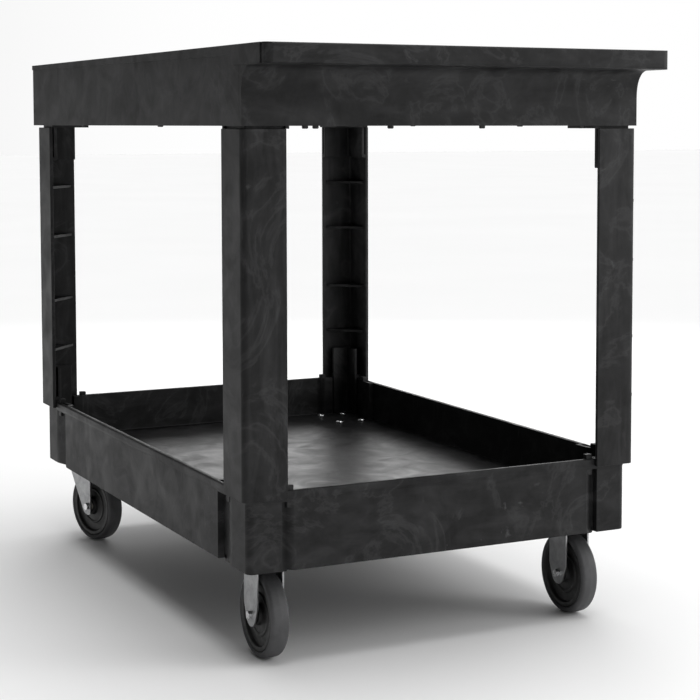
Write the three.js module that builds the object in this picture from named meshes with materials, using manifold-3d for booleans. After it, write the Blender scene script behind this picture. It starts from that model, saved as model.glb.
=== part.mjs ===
// Two-level moulded plastic service trolley on 5 inch casters.
// Millimetres, +Z up. The origin is on the floor, under the middle of the trolley's outline.
// +X is the end with the push ledge and the rigid casters; the swivel casters are at the other end.
//
// Corner pieces are drawn in corner coordinates: u is the distance inwards from the leg's outer
// plane across X, and v is the distance inwards from its outer plane across Y.

import * as THREE from 'three';
import { mergeVertices } from 'three/addons/utils/BufferGeometryUtils.js';
import Module from 'manifold-3d';

const wasm = await Module();
wasm.setup();

// ---------------------------------------------------------------- driving dimensions
const LENGTH = 1128;            // rear apron to the tip of the ledge
const WIDTH = 649;              // over the aprons and the legs
const HEIGHT = 877;             // floor to deck
const GAP = 0.3;                // clearance between pieces that touch

const LEDGE_REACH = 87;         // ledge past the front apron
const LEDGE_THICK = 29;
const REAR_OVERHANG = 38;       // rear apron past the rear legs

const APRON_HEIGHT = 111;
const APRON_WALL = 8;
const DECK_THICK = 7;
const DECK_RIB_DEPTH = 14;
const RIB_THICK = 5;
const BEAD_PROUD = 3;           // bead along the side of the deck
const BEAD_HEIGHT = 11;

const FLANGE_X = 76;            // leg angle, along the trolley
const FLANGE_Y = 67;            // leg angle, across the trolley
const SKIN = 6;
const LEG_RADIUS = 9;
const LEG_TOP = 762;            // the skin stops below the apron
const LEG_BOTTOM = 245;         // and laps the tray's rim
const LEG_GUSSETS = [352, 443, 561, 652];
const GUSSET_THICK = 5;

const TRAY_TOP = 256;
const TRAY_BOTTOM = 141;
const TRAY_FLOOR = 182;         // upper face of the tray's floor
const TRAY_WALL = 6;
const TRAY_INSET = 9;           // tray wall inside the leg's outer planes
const FLOOR_THICK = 6;
const LIP_PROUD = 2.5;
const LIP_HEIGHT = 13;
const GROOVE_DEPTH = 9;
const TRAY_RIB_DEPTH = 10;

const CASTER_U = 82;            // mounting plate's middle, in corner coordinates
const CASTER_V = 64;
const CASTER_HEIGHT = 162;
const PLATE_X = 104;
const PLATE_Y = 71;
const PLATE_THICK = 4;
const BOLT_SPAN_X = 86;
const BOLT_SPAN_Y = 48;
const BOLT_RADIUS = 3.9;

const WHEEL_RADIUS = 63.5;
const WHEEL_WIDTH = 29;
const WHEEL_SIDES = 24;
const HUB_RADIUS = 54;
const AXLE_RADIUS = 4;
const SWIVEL_LEAD = 26;         // kingpin to axle
const SWIVEL_YAW = 17;          // degrees, as it stands

// ---------------------------------------------------------------- derived places
const LEDGE_TIP = LENGTH / 2;
const LEG_FRONT = LEDGE_TIP - LEDGE_REACH;
const REAR_APRON = -LENGTH / 2;
const LEG_REAR = REAR_APRON + REAR_OVERHANG;
const HALF_WIDTH = WIDTH / 2;
const APRON_BOTTOM = HEIGHT - APRON_HEIGHT;
const DECK_UNDER = HEIGHT - DECK_THICK;
const AXLE_Z = WHEEL_RADIUS;
const FACET = Math.cos(Math.PI / WHEEL_SIDES);
const TREAD_RADIUS = WHEEL_RADIUS / FACET;  // at the corners between the flats it stands on
const PLATE_TOP = CASTER_HEIGHT - GAP;
const PLATE_UNDER = PLATE_TOP - PLATE_THICK;

const CORNERS = [
  { name: 'front_right', planeX: LEG_FRONT, signX: 1, signY: -1, swivels: false },
  { name: 'front_left', planeX: LEG_FRONT, signX: 1, signY: 1, swivels: false },
  { name: 'rear_right', planeX: LEG_REAR, signX: -1, signY: -1, swivels: true },
  { name: 'rear_left', planeX: LEG_REAR, signX: -1, signY: 1, swivels: true },
];

// ---------------------------------------------------------------- materials
const material = (color, roughness, metalness) =>
  new THREE.MeshStandardMaterial({ color, roughness, metalness });

const foamPlastic = () => material(0x2b2b2b, 0.5, 0);
const zincSteel = () => material(0x9a9c9e, 0.42, 0.9);
const boltSteel = () => material(0xb9bcbf, 0.3, 0.95);
const tyreRubber = () => material(0x63646a, 0.75, 0);
const hubPlastic = () => material(0x151515, 0.45, 0);
const bushPlastic = () => material(0xd8d6cc, 0.5, 0);

// ---------------------------------------------------------------- solids and booleans
function solid(geometry) {
  const bare = geometry.index ? geometry.toNonIndexed() : geometry.clone();
  bare.deleteAttribute('normal');
  bare.deleteAttribute('uv');
  const merged = mergeVertices(bare, 1e-4);
  return new wasm.Manifold(new wasm.Mesh({
    numProp: 3,
    vertProperties: new Float32Array(merged.attributes.position.array),
    triVerts: new Uint32Array(merged.index.array),
  }));
}

const join = (solids) => solids.reduce((whole, piece) => whole.add(piece));
const cut = (whole, tools) => tools.reduce((rest, tool) => rest.subtract(tool), whole);

function toMesh(name, shape, finish) {
  const source = shape.getMesh();
  const geometry = new THREE.BufferGeometry();
  geometry.setAttribute('position', new THREE.BufferAttribute(source.vertProperties, 3));
  geometry.setIndex(new THREE.BufferAttribute(source.triVerts, 1));
  const mesh = new THREE.Mesh(geometry, finish);
  mesh.name = name;
  return mesh;
}

function block(x0, x1, y0, y1, z0, z1) {
  const box = new THREE.BoxGeometry(x1 - x0, y1 - y0, z1 - z0);
  box.translate((x0 + x1) / 2, (y0 + y1) / 2, (z0 + z1) / 2);
  return solid(box);
}

function prism(points, z0, z1) {
  const geometry = new THREE.ExtrudeGeometry(new THREE.Shape(points), {
    depth: z1 - z0,
    bevelEnabled: false,
  });
  geometry.translate(0, 0, z0);
  return solid(geometry);
}

function rod(radius, z0, z1, x = 0, y = 0, sides = 16) {
  const cylinder = new THREE.CylinderGeometry(radius, radius, z1 - z0, sides);
  cylinder.rotateX(Math.PI / 2);
  cylinder.translate(x, y, (z0 + z1) / 2);
  return solid(cylinder);
}

// A hexagonal or round bar along Y.
function crossBar(radius, y0, y1, x, z, sides) {
  const cylinder = new THREE.CylinderGeometry(radius, radius, y1 - y0, sides);
  cylinder.translate(x, (y0 + y1) / 2, z);
  return solid(cylinder);
}

// Turned about the Y axis from (radius, y) pairs.
const turned = (profile, sides) =>
  solid(new THREE.LatheGeometry(
    profile.map(([radius, y]) => new THREE.Vector2(radius, y)),
    sides,
    Math.PI / sides,
  ));

function arc(centreX, centreY, radius, start, end, steps) {
  const points = [];
  for (let step = 0; step <= steps; step += 1) {
    const angle = THREE.MathUtils.degToRad(start + (end - start) * step / steps);
    points.push(new THREE.Vector2(
      centreX + radius * Math.cos(angle),
      centreY + radius * Math.sin(angle),
    ));
  }
  return points;
}

function roundedRectangle(x0, x1, y0, y1, rearRadius, frontRadius, steps) {
  return [
    ...arc(x1 - frontRadius, y0 + frontRadius, frontRadius, -90, 0, steps),
    ...arc(x1 - frontRadius, y1 - frontRadius, frontRadius, 0, 90, steps),
    ...arc(x0 + rearRadius, y1 - rearRadius, rearRadius, 90, 180, steps),
    ...arc(x0 + rearRadius, y0 + rearRadius, rearRadius, 180, 270, steps),
  ];
}

// ---------------------------------------------------------------- corner coordinates
function cornerPoint(corner, u, v) {
  return new THREE.Vector2(corner.planeX - corner.signX * u, corner.signY * (HALF_WIDTH - v));
}

const cornerPrism = (corner, pairs, z0, z1) =>
  prism(pairs.map(([u, v]) => cornerPoint(corner, u, v)), z0, z1);

const cornerBlock = (corner, u0, u1, v0, v1, z0, z1) =>
  cornerPrism(corner, [[u0, v0], [u1, v0], [u1, v1], [u0, v1]], z0, z1);

// An angle section whose outer corner is rounded.
function angleSection(inset, radius, thick, endU, endV) {
  const rounded = arc(inset + radius, inset + radius, radius, 270, 180, 3).map((p) => [p.x, p.y]);
  return [
    [endU, inset],
    ...rounded,
    [inset, endV],
    [inset + thick, endV],
    [inset + thick, inset + thick],
    [endU, inset + thick],
  ];
}

// ---------------------------------------------------------------- legs
const TONGUE_TOP_INSET = APRON_WALL + GAP;
const TONGUE_BOTTOM_INSET = TRAY_INSET + TRAY_WALL + 0.5;
const TONGUE_TOP = DECK_UNDER - 27;
const LOWER_END_U = 56;         // clear of the tray's grooves
const LOWER_END_V = 52;
const GUSSET_REACH_U = FLANGE_X - 9;
const GUSSET_REACH_V = FLANGE_Y - 7;

function makeLeg(corner) {
  const skin = cornerPrism(
    corner,
    angleSection(0, LEG_RADIUS, SKIN, FLANGE_X, FLANGE_Y),
    LEG_BOTTOM,
    LEG_TOP,
  );
  const upper = cornerPrism(
    corner,
    angleSection(TONGUE_TOP_INSET, 2, SKIN, FLANGE_X - GAP, FLANGE_Y - GAP),
    LEG_TOP - 60,
    TONGUE_TOP,
  );
  const lower = cornerPrism(
    corner,
    angleSection(TONGUE_BOTTOM_INSET, TRAY_WALL, SKIN, LOWER_END_U, LOWER_END_V),
    TRAY_FLOOR + GAP,
    TRAY_TOP + 60,
  );
  const triangle = [
    [SKIN / 2, SKIN / 2],
    [GUSSET_REACH_U, SKIN / 2],
    [SKIN / 2, GUSSET_REACH_V],
  ];
  const gussets = LEG_GUSSETS.map((z) =>
    cornerPrism(corner, triangle, z - GUSSET_THICK / 2, z + GUSSET_THICK / 2));
  const seat = cornerPrism(
    corner,
    angleSection(SKIN / 2, 2, TONGUE_BOTTOM_INSET, LOWER_END_U, LOWER_END_V),
    TRAY_TOP + GAP,
    TRAY_TOP + GAP + SKIN,
  );
  const shoulder = cornerPrism(
    corner,
    angleSection(SKIN / 2, 2, SKIN, FLANGE_X - GAP, FLANGE_Y - GAP),
    LEG_TOP - 60,
    LEG_TOP - 60 + SKIN,
  );
  return join([skin, upper, lower, seat, shoulder, ...gussets]);
}

// ---------------------------------------------------------------- top shelf
const COVE_START = LEDGE_REACH * 0.35;     // where the cove meets the ledge's underside
const LEDGE_CORNER = 17;
const REAR_CORNER = 12;
const EDGE_ROUND = 4;

// Side view of the front apron and the ledge, as (x, z), drawn for extrusion across the trolley.
function ledgeProfile() {
  const under = HEIGHT - LEDGE_THICK;
  const cove = [];
  const steps = 6;
  for (let step = 0; step <= steps; step += 1) {
    const angle = (Math.PI / 2) * step / steps;
    cove.push(new THREE.Vector2(
      LEG_FRONT + COVE_START * (1 - Math.cos(angle)),
      under - 48 + 48 * Math.sin(angle),
    ));
  }
  return [
    new THREE.Vector2(LEG_FRONT - APRON_WALL, APRON_BOTTOM),
    new THREE.Vector2(LEG_FRONT, APRON_BOTTOM),
    ...cove,
    ...arc(LEDGE_TIP - EDGE_ROUND, under + EDGE_ROUND, EDGE_ROUND, -90, 0, 3),
    ...arc(LEDGE_TIP - EDGE_ROUND, HEIGHT - EDGE_ROUND, EDGE_ROUND, 0, 90, 3),
    new THREE.Vector2(LEG_FRONT - APRON_WALL, HEIGHT),
  ];
}

function ledge() {
  const geometry = new THREE.ExtrudeGeometry(new THREE.Shape(ledgeProfile()), {
    depth: WIDTH,
    bevelEnabled: false,
  });
  geometry.rotateX(Math.PI / 2);
  geometry.translate(0, HALF_WIDTH, 0);
  return solid(geometry);
}

const SOCKET_WALL = 5;
const SOCKET_DROP = 4;          // the sockets' ends hang below the apron
const SOCKET_U = FLANGE_X + GAP;
const SOCKET_V = FLANGE_Y + GAP;

function legSocket(corner) {
  return cornerBlock(
    corner,
    APRON_WALL - SOCKET_WALL,
    SOCKET_U + SOCKET_WALL,
    APRON_WALL / 2,
    SOCKET_V + SOCKET_WALL,
    APRON_BOTTOM - SOCKET_DROP,
    DECK_UNDER + 1,
  );
}

function legSocketSpace(corner) {
  return cornerBlock(
    corner,
    APRON_WALL,
    SOCKET_U,
    APRON_WALL,
    SOCKET_V,
    APRON_BOTTOM - SOCKET_DROP - 1,
    DECK_UNDER,
  );
}

// Keeps the sockets' lower ends from reaching over the leg skins.
function legSkinSpace(corner) {
  return cornerBlock(
    corner,
    -1,
    SOCKET_U,
    -1,
    SOCKET_V,
    LEG_TOP - 5,
    APRON_BOTTOM,
  );
}

function deckRibs() {
  const ribs = [];
  const z0 = DECK_UNDER - DECK_RIB_DEPTH;
  const z1 = DECK_UNDER + 1;
  const crossSpan = HALF_WIDTH - APRON_WALL / 2;
  const crossRibs = 7;
  for (let index = 0; index < crossRibs; index += 1) {
    const x = LEG_REAR + 125 + index * (LEG_FRONT - LEG_REAR - 250) / (crossRibs - 1);
    ribs.push(block(x - RIB_THICK / 2, x + RIB_THICK / 2, -crossSpan, crossSpan, z0, z1));
  }
  const longStart = REAR_APRON + APRON_WALL / 2;
  const longEnd = LEG_FRONT - APRON_WALL / 2;
  for (const y of [-160, 0, 160]) {
    ribs.push(block(longStart, longEnd, y - RIB_THICK / 2, y + RIB_THICK / 2, z0, z1));
  }
  return ribs;
}

function sideBead(side) {
  const start = REAR_APRON + REAR_CORNER;
  const end = LEG_FRONT - 10;
  const inner = side * (HALF_WIDTH - 4);
  const outer = side * (HALF_WIDTH + BEAD_PROUD);
  return block(
    start,
    end,
    Math.min(inner, outer),
    Math.max(inner, outer),
    HEIGHT - BEAD_HEIGHT,
    HEIGHT,
  );
}

function makeTopShelf() {
  const shell = prism(
    roundedRectangle(REAR_APRON, LEG_FRONT, -HALF_WIDTH, HALF_WIDTH, REAR_CORNER, LEG_RADIUS, 4),
    APRON_BOTTOM,
    HEIGHT,
  );
  const hollow = prism(
    roundedRectangle(
      REAR_APRON + APRON_WALL,
      LEG_FRONT - APRON_WALL,
      -HALF_WIDTH + APRON_WALL,
      HALF_WIDTH - APRON_WALL,
      REAR_CORNER - 4,
      4,
      2,
    ),
    APRON_BOTTOM - 1,
    DECK_UNDER,
  );
  const outline = prism(
    roundedRectangle(
      REAR_APRON,
      LEDGE_TIP,
      -HALF_WIDTH,
      HALF_WIDTH,
      REAR_CORNER,
      LEDGE_CORNER,
      5,
    ),
    APRON_BOTTOM - 1,
    HEIGHT + 1,
  );
  const sockets = CORNERS.map(legSocket);
  const body = join([cut(shell, [hollow]), ledge().intersect(outline), ...deckRibs(), ...sockets]);
  const cleared = cut(body, [...CORNERS.map(legSocketSpace), ...CORNERS.map(legSkinSpace)]);
  return join([cleared, sideBead(-1), sideBead(1)]);
}

// ---------------------------------------------------------------- bottom tray
const POST_U = 64;              // the groove beside the post starts here, on the long side
const GROOVE_END_U = 122;
const POST_V = 61;              // and here, on the end
const GROOVE_END_V = 77;

// One corner of a wall outline, from the long side's middle round to the end's middle.
function wallCorner(inset, depth, radius, spreadU, spreadV) {
  const deep = inset + depth;
  return [
    [GROOVE_END_U + spreadU, inset],
    [GROOVE_END_U + spreadU - 2, deep],
    [GROOVE_END_U - 16, deep],
    [GROOVE_END_U - 34 - spreadU, inset + depth / 2],
    [POST_U - spreadU, inset],
    ...arc(inset + radius, inset + radius, radius, 270, 180, 3).map((p) => [p.x, p.y]),
    [inset, POST_V - spreadV],
    [deep, POST_V - spreadV],
    [deep, GROOVE_END_V + spreadV],
    [inset, GROOVE_END_V + spreadV + 2],
  ];
}

function wallOutline(inset, depth, radius, spreadU, spreadV) {
  const [frontRight, frontLeft, rearRight, rearLeft] = CORNERS.map((corner) =>
    wallCorner(inset, depth, radius, spreadU, spreadV).map(([u, v]) => cornerPoint(corner, u, v)));
  return [
    ...frontRight,
    ...frontLeft.reverse(),
    ...rearLeft,
    ...rearRight.reverse(),
  ];
}

const trayRectangle = (inset, radius) => roundedRectangle(
  LEG_REAR + inset,
  LEG_FRONT - inset,
  -HALF_WIDTH + inset,
  HALF_WIDTH - inset,
  radius,
  radius,
  3,
);

function trayRibs() {
  const ribs = [];
  const z0 = TRAY_FLOOR - FLOOR_THICK - TRAY_RIB_DEPTH;
  const z1 = TRAY_FLOOR - 1;
  const crossSpan = HALF_WIDTH - TRAY_INSET - TRAY_WALL / 2;
  const crossRibs = 5;
  for (let index = 0; index < crossRibs; index += 1) {
    const x = LEG_REAR + 170 + index * (LEG_FRONT - LEG_REAR - 340) / (crossRibs - 1);
    ribs.push(block(x - RIB_THICK / 2, x + RIB_THICK / 2, -crossSpan, crossSpan, z0, z1));
  }
  const span = TRAY_INSET + TRAY_WALL / 2;
  for (const y of [-110, 110]) {
    ribs.push(block(
      LEG_REAR + span,
      LEG_FRONT - span,
      y - RIB_THICK / 2,
      y + RIB_THICK / 2,
      z0,
      z1,
    ));
  }
  return ribs;
}

function casterPad(corner) {
  const start = TRAY_INSET + GROOVE_DEPTH + 2;
  return cornerBlock(
    corner,
    start,
    CASTER_U + PLATE_X / 2 + 4,
    start,
    CASTER_V + PLATE_Y / 2 + 4,
    CASTER_HEIGHT,
    TRAY_FLOOR - 1,
  );
}

const boltPlaces = (corner) => [-1, 1].flatMap((alongX) =>
  [-1, 1].map((alongY) => cornerPoint(
    corner,
    CASTER_U + alongX * BOLT_SPAN_X / 2,
    CASTER_V + alongY * BOLT_SPAN_Y / 2,
  )));

// A short upright beside each leg that keeps its flange end in place.
function legStop(corner) {
  const z0 = TRAY_TOP - 25;
  const z1 = TRAY_TOP + 7;
  const onSide = cornerBlock(corner, FLANGE_X + 2, FLANGE_X + 15, TRAY_INSET, 20, z0, z1);
  const onEnd = cornerBlock(corner, TRAY_INSET, 20, FLANGE_Y + 2, FLANGE_Y + 13, z0, z1);
  return [onSide, onEnd];
}

function makeTray() {
  const outer = prism(wallOutline(TRAY_INSET, GROOVE_DEPTH, 11, 0, 0), TRAY_BOTTOM, TRAY_TOP);
  const innerInset = TRAY_INSET + TRAY_WALL;
  const inner = () => wallOutline(innerInset, GROOVE_DEPTH, 6, 6, 5);
  const basin = prism(inner(), TRAY_FLOOR, TRAY_TOP + 1);
  const underside = prism(inner(), TRAY_BOTTOM - 1, TRAY_FLOOR - FLOOR_THICK);
  const lip = cut(
    prism(trayRectangle(TRAY_INSET - LIP_PROUD, 12), TRAY_TOP - LIP_HEIGHT, TRAY_TOP),
    [prism(trayRectangle(TRAY_INSET + 2, 9), TRAY_TOP - LIP_HEIGHT - 1, TRAY_TOP + 1)],
  );
  const ribs = trayRibs();
  const pads = CORNERS.map(casterPad);
  const stops = CORNERS.flatMap(legStop);
  const body = join([cut(outer, [basin, underside]), lip, ...ribs, ...pads, ...stops]);
  const boltHoles = CORNERS.flatMap(boltPlaces).map((place) =>
    rod(BOLT_RADIUS + GAP, CASTER_HEIGHT - 1, TRAY_FLOOR + 1, place.x, place.y, 12));
  return cut(body, boltHoles);
}

// ---------------------------------------------------------------- casters
// Every caster piece is drawn about the wheel's middle in X and Y, with Z from the floor.
const CLEAR = 0.5;              // running clearance
const FORK_PLATE = 3;           // thickness of the stamped fork
const FORK_INSIDE = WHEEL_WIDTH / 2 + 4;
const FORK_OUTSIDE = FORK_INSIDE + FORK_PLATE;
const BUSH_RADIUS = 7;
const BOSS_RADIUS = 16;

function makeTyre() {
  const half = WHEEL_WIDTH / 2;
  const inner = HUB_RADIUS + GAP;
  return turned([
    [inner, -half + 1.5],
    [inner, half - 1.5],
    [TREAD_RADIUS - 6, half],
    [TREAD_RADIUS - 1.5, half - 4],
    [TREAD_RADIUS, half - 9],
    [TREAD_RADIUS, -half + 9],
    [TREAD_RADIUS - 1.5, -half + 4],
    [TREAD_RADIUS - 6, -half],
    [inner, -half + 1.5],
  ].reverse(), WHEEL_SIDES);
}

function makeHub() {
  const half = WHEEL_WIDTH / 2;
  const bore = BUSH_RADIUS + CLEAR;
  return turned([
    [bore, -half],
    [bore, half],
    [BOSS_RADIUS, half],
    [HUB_RADIUS - 8, half - 6],
    [HUB_RADIUS, half - 2],
    [HUB_RADIUS, -half + 2],
    [HUB_RADIUS - 8, -half + 6],
    [BOSS_RADIUS, -half],
    [bore, -half],
  ].reverse(), WHEEL_SIDES);
}

function makeBushing() {
  const half = FORK_INSIDE - CLEAR;
  const bore = AXLE_RADIUS + GAP;
  return turned([
    [bore, -half],
    [bore, half],
    [BUSH_RADIUS, half],
    [BUSH_RADIUS, -half],
    [bore, -half],
  ].reverse(), 12);
}

// The bolt lies along Y: its head is on the -Y side and the nut is on the other.
function makeAxleBolt() {
  const head = crossBar(6.5, -FORK_OUTSIDE - GAP - 4.5, -FORK_OUTSIDE - GAP, 0, 0, 6);
  const shank = crossBar(AXLE_RADIUS, -FORK_OUTSIDE - 1, FORK_OUTSIDE + 9, 0, 0, 12);
  return join([head, shank]);
}

function makeAxleNut() {
  const nut = crossBar(6.5, FORK_OUTSIDE + GAP, FORK_OUTSIDE + 7, 0, 0, 6);
  const bore = crossBar(AXLE_RADIUS + GAP, FORK_OUTSIDE - 1, FORK_OUTSIDE + 8, 0, 0, 12);
  return cut(nut, [bore]);
}

// A fork side in side view, as (x, z) about the axle, extruded through the plate's thickness.
function forkSide(points, side) {
  const geometry = new THREE.ExtrudeGeometry(new THREE.Shape(points), {
    depth: FORK_PLATE,
    bevelEnabled: false,
  });
  geometry.rotateX(Math.PI / 2);
  geometry.translate(0, side > 0 ? FORK_OUTSIDE : -FORK_INSIDE, AXLE_Z);
  return solid(geometry);
}

const axleHole = () =>
  crossBar(AXLE_RADIUS + GAP, -FORK_OUTSIDE - 1, FORK_OUTSIDE + 1, 0, AXLE_Z, 12);

const FORK_TIP = 17;
const RIGID_WIDTH = 48;

function makeRigidFork() {
  const top = PLATE_TOP - AXLE_Z;
  const outline = [
    ...arc(0, 0, FORK_TIP, 205, 335, 6),
    new THREE.Vector2(RIGID_WIDTH / 2, 14),
    new THREE.Vector2(RIGID_WIDTH / 2, top),
    new THREE.Vector2(-RIGID_WIDTH / 2, top),
    new THREE.Vector2(-RIGID_WIDTH / 2, 14),
  ];
  const plate = block(
    -PLATE_X / 2,
    PLATE_X / 2,
    -PLATE_Y / 2,
    PLATE_Y / 2,
    PLATE_UNDER,
    PLATE_TOP,
  );
  const whole = join([plate, forkSide(outline, -1), forkSide(outline, 1)]);
  return cut(whole, [axleHole(), ...plateBoltHoles(0)]);
}

const plateBoltHoles = (middleX) => [-1, 1].flatMap((alongX) =>
  [-1, 1].map((alongY) => rod(
    BOLT_RADIUS + GAP,
    PLATE_UNDER - 1,
    PLATE_TOP + 1,
    middleX + alongX * BOLT_SPAN_X / 2,
    alongY * BOLT_SPAN_Y / 2,
    12,
  )));

const KINGPIN_RADIUS = 6;
const RACE_RADIUS = 27;
const RACE_HEIGHT = 8;
const CROWN_TOP = PLATE_UNDER - GAP - RACE_HEIGHT - CLEAR;
const CROWN_THICK = 5;
const CROWN_RADIUS = 31;

function makeTopPlate() {
  const plate = block(
    -PLATE_X / 2,
    PLATE_X / 2,
    -PLATE_Y / 2,
    PLATE_Y / 2,
    PLATE_UNDER,
    PLATE_TOP,
  );
  const kingpinHole = rod(KINGPIN_RADIUS + GAP, PLATE_UNDER - 1, PLATE_TOP + 1);
  return cut(plate, [kingpinHole, ...plateBoltHoles(0)]);
}

function makeBallRace() {
  const race = rod(RACE_RADIUS, CROWN_TOP + CLEAR, PLATE_UNDER - GAP, 0, 0, 24);
  return cut(race, [rod(KINGPIN_RADIUS + GAP, CROWN_TOP, PLATE_UNDER, 0, 0, 12)]);
}

// The pin's shank runs from the plate down through the crown, and its head is under the crown.
function makeKingpin() {
  const shank = rod(KINGPIN_RADIUS, CROWN_TOP - CROWN_THICK - 6, PLATE_TOP - 1, 0, 0, 12);
  const headTop = CROWN_TOP - CROWN_THICK - CLEAR;
  const head = rod(11, headTop - 6, headTop, 0, 0, 6);
  return join([shank, head]);
}

// The swivel fork is drawn about the kingpin, with its axle SWIVEL_LEAD towards +X.
function makeSwivelFork() {
  const top = CROWN_TOP - AXLE_Z;
  const outline = [
    ...arc(0, 0, FORK_TIP - 1, 200, 330, 6),
    new THREE.Vector2(6, top - 26),
    new THREE.Vector2(CROWN_RADIUS - SWIVEL_LEAD, top),
    new THREE.Vector2(-CROWN_RADIUS - SWIVEL_LEAD + 3, top),
    new THREE.Vector2(-CROWN_RADIUS - SWIVEL_LEAD + 6, top - 20),
  ];
  const sides = join([forkSide(outline, -1), forkSide(outline, 1)]).translate([SWIVEL_LEAD, 0, 0]);
  const crown = rod(CROWN_RADIUS, CROWN_TOP - CROWN_THICK, CROWN_TOP, 0, 0, 24);
  const kingpinHole = rod(KINGPIN_RADIUS + CLEAR, CROWN_TOP - 8, CROWN_TOP + 1, 0, 0, 16);
  return cut(join([sides, crown]), [kingpinHole, axleHole().translate([SWIVEL_LEAD, 0, 0])]);
}

function makePlateBolt() {
  const shank = rod(BOLT_RADIUS, PLATE_UNDER - 9, TRAY_FLOOR + 1, 0, 0, 8);
  const dome = new THREE.LatheGeometry([
    new THREE.Vector2(0, 0),
    new THREE.Vector2(8.5, 0),
    new THREE.Vector2(8, 1.8),
    new THREE.Vector2(5, 3.8),
    new THREE.Vector2(0, 4.5),
  ], 12);
  dome.rotateX(Math.PI / 2);
  dome.translate(0, 0, TRAY_FLOOR + GAP);
  return join([shank, solid(dome)]);
}

// ---------------------------------------------------------------- assembly
const trolley = new THREE.Group();
trolley.add(toMesh('top_shelf', makeTopShelf(), foamPlastic()));
trolley.add(toMesh('bottom_tray', makeTray(), foamPlastic()));

function addWheel(parent, label, x) {
  const tyre = toMesh(`${label}_tyre`, makeTyre(), tyreRubber());
  const hub = toMesh(`${label}_hub`, makeHub(), hubPlastic());
  const bushing = toMesh(`${label}_bushing`, makeBushing(), bushPlastic());
  const bolt = toMesh(`${label}_axle_bolt`, makeAxleBolt(), boltSteel());
  const nut = toMesh(`${label}_axle_nut`, makeAxleNut(), boltSteel());
  for (const piece of [tyre, hub, bushing, bolt, nut]) {
    piece.position.set(x, 0, AXLE_Z);
    parent.add(piece);
  }
}

for (const corner of CORNERS) {
  const { name } = corner;
  trolley.add(toMesh(`${name}_leg`, makeLeg(corner), foamPlastic()));

  const mounting = cornerPoint(corner, CASTER_U, CASTER_V);
  const caster = new THREE.Group();
  caster.position.set(mounting.x, mounting.y, 0);
  trolley.add(caster);

  if (corner.swivels) {
    caster.add(toMesh(`${name}_top_plate`, makeTopPlate(), zincSteel()));
    caster.add(toMesh(`${name}_ball_race`, makeBallRace(), zincSteel()));
    caster.add(toMesh(`${name}_kingpin`, makeKingpin(), boltSteel()));
    const swivel = new THREE.Group();
    swivel.rotation.z = THREE.MathUtils.degToRad(SWIVEL_YAW);
    swivel.add(toMesh(`${name}_fork`, makeSwivelFork(), zincSteel()));
    addWheel(swivel, name, SWIVEL_LEAD);
    caster.add(swivel);
  } else {
    caster.add(toMesh(`${name}_fork`, makeRigidFork(), zincSteel()));
    addWheel(caster, name, 0);
  }

  boltPlaces(corner).forEach((place, index) => {
    const bolt = toMesh(`${name}_plate_bolt_${index + 1}`, makePlateBolt(), boltSteel());
    bolt.position.set(place.x, place.y, 0);
    trolley.add(bolt);
  });
}

export default trolley;
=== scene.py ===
"""Looks of the food service trolley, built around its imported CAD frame.

Lengths in this script are millimetres in the frame's axes; they become metres when a mesh is made.
+X is the end with the push ledge and the rigid casters, -Y is the right-hand long side.
Corner coordinates: u runs inwards from a leg's outer plane across X, v inwards from its outer
plane across Y.
"""

import math

import bmesh
import bpy
from mathutils import Matrix, Vector


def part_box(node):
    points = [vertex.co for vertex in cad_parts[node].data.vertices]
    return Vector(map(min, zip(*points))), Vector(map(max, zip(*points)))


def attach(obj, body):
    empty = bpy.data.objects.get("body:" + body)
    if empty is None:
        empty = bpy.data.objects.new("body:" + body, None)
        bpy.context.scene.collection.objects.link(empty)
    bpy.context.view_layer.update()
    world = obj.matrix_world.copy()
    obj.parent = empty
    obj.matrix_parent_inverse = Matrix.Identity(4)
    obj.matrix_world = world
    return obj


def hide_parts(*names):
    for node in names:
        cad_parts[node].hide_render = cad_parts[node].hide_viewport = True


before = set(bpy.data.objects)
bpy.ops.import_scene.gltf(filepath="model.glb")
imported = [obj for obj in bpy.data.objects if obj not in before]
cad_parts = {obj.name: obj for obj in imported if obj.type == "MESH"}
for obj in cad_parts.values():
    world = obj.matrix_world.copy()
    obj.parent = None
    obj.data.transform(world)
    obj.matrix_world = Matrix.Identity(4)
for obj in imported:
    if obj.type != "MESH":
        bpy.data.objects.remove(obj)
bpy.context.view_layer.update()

MM = 0.001


def box_mm(node):
    """Lowest and highest corner of a CAD node, in millimetres."""
    low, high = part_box(node)
    return Vector(low) / MM, Vector(high) / MM


# ------------------------------------------------------------------ places read from the frame
shelf_low, shelf_high = box_mm("top_shelf")
tray_low, tray_high = box_mm("bottom_tray")
leg_low, leg_high = box_mm("front_right_leg")
rear_leg_low, _ = box_mm("rear_right_leg")

DECK_TOP = shelf_high.z
LEDGE_TIP = shelf_high.x
REAR_APRON = shelf_low.x
LEG_FRONT = leg_high.x
LEG_REAR = rear_leg_low.x
HALF_WIDTH = -leg_low.y
FLANGE_X = leg_high.x - leg_low.x
FLANGE_Y = leg_high.y - leg_low.y
BEAD_PROUD = shelf_high.y - HALF_WIDTH
SOCKET_END = shelf_low.z
TRAY_BOTTOM = tray_low.z

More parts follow.
